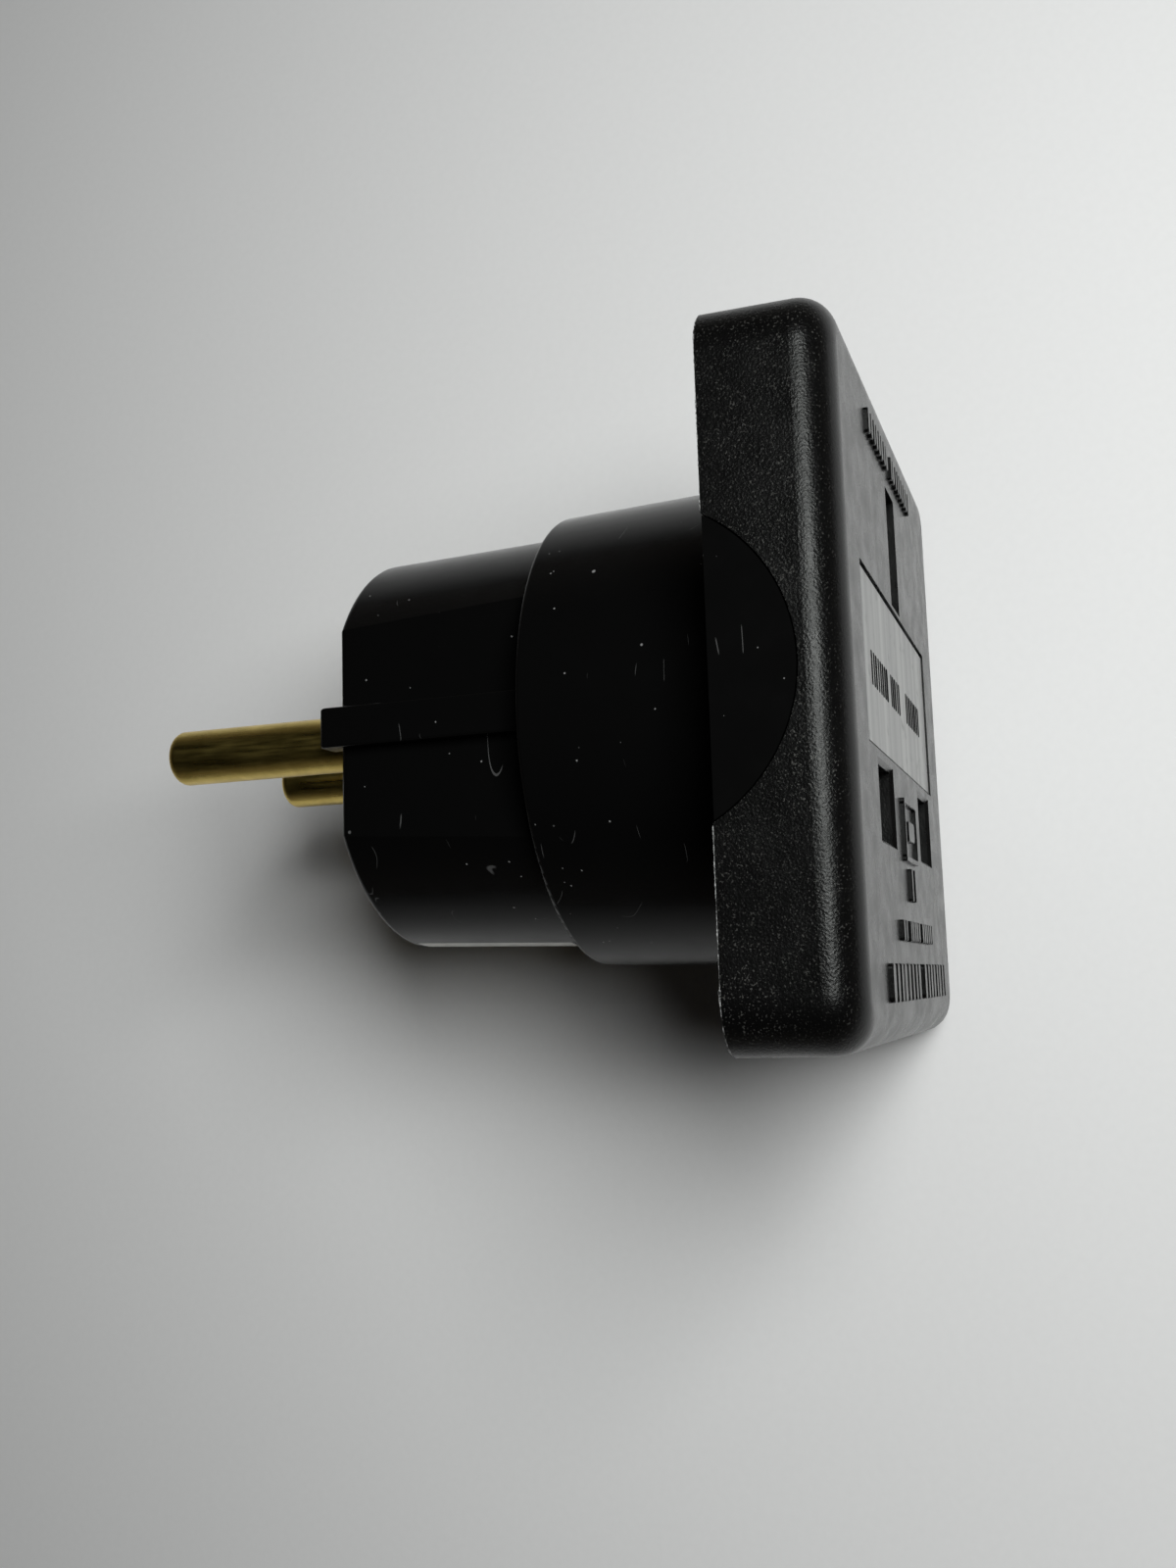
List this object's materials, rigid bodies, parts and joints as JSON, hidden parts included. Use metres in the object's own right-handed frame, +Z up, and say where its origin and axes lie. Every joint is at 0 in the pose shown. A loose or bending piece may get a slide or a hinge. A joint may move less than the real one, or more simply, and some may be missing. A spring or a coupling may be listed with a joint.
{
  "type": "travel plug adapter",
  "caption": "Square black socket face with rectangular slots for a flat-pin plug, on a round plug boss with two round brass pins, joined by a stepped round body.",
  "frame": {"origin": "middle of the square socket face, on the plug axis, in the plane of the face", "axes": "+Y along the plug axis from the socket face to the tips of the round pins; +X towards the earth slot; +Z up when the adapter lies on one flat side of its square cover, from the neutral pin to the line pin"},
  "size_m": [0.0526, 0.0625, 0.0526],
  "materials": {
    "cover_plastic": "fine spark-eroded satin black",
    "housing_plastic": "smooth black",
    "label_foil": "silver foil",
    "pin_brass": "drawn, slightly dull",
    "contact_brass": "stamped strip",
    "plated_strip": "nickel plate",
    "spring_steel": "spring wire and strip",
    "screw_steel": "zinc plate",
    "carrier_plastic": "moulded dark grey",
    "shutter_plastic": "smooth black"
  },
  "bodies": {
    "casing": {"front_cover": "cover_plastic", "rear_housing": "housing_plastic", "rating_label": "label_foil", "line_pin": "pin_brass", "neutral_pin": "pin_brass", "line_contact": "contact_brass", "neutral_contact": "contact_brass", "earth_contact": "contact_brass", "line_jaw_spring": "spring_steel", "neutral_jaw_spring": "spring_steel", "earth_jaw_spring": "spring_steel", "line_busbar": "contact_brass", "neutral_busbar": "contact_brass", "terminal_screws": "screw_steel", "terminal_washers": "screw_steel", "contact_carrier": "carrier_plastic", "earth_bridge": "contact_brass", "earth_clip_upper": "plated_strip", "earth_clip_lower": "plated_strip", "earth_rivets": "contact_brass", "shutter_spring": "spring_steel", "shutter_retainer": "carrier_plastic", "retainer_screws": "screw_steel", "assembly_screws": "screw_steel"},
    "shutter": {"shutter": "shutter_plastic"}
  },
  "joints": [
    {"name": "shutter_slide", "type": "slide", "parent": "casing", "child": "shutter", "axis": [-1, 0, 0], "range_m": [0, 0.006], "stiffness_N_per_m": 60, "springref_m": -0.004, "deforming": ["shutter_spring"]}
  ]
}
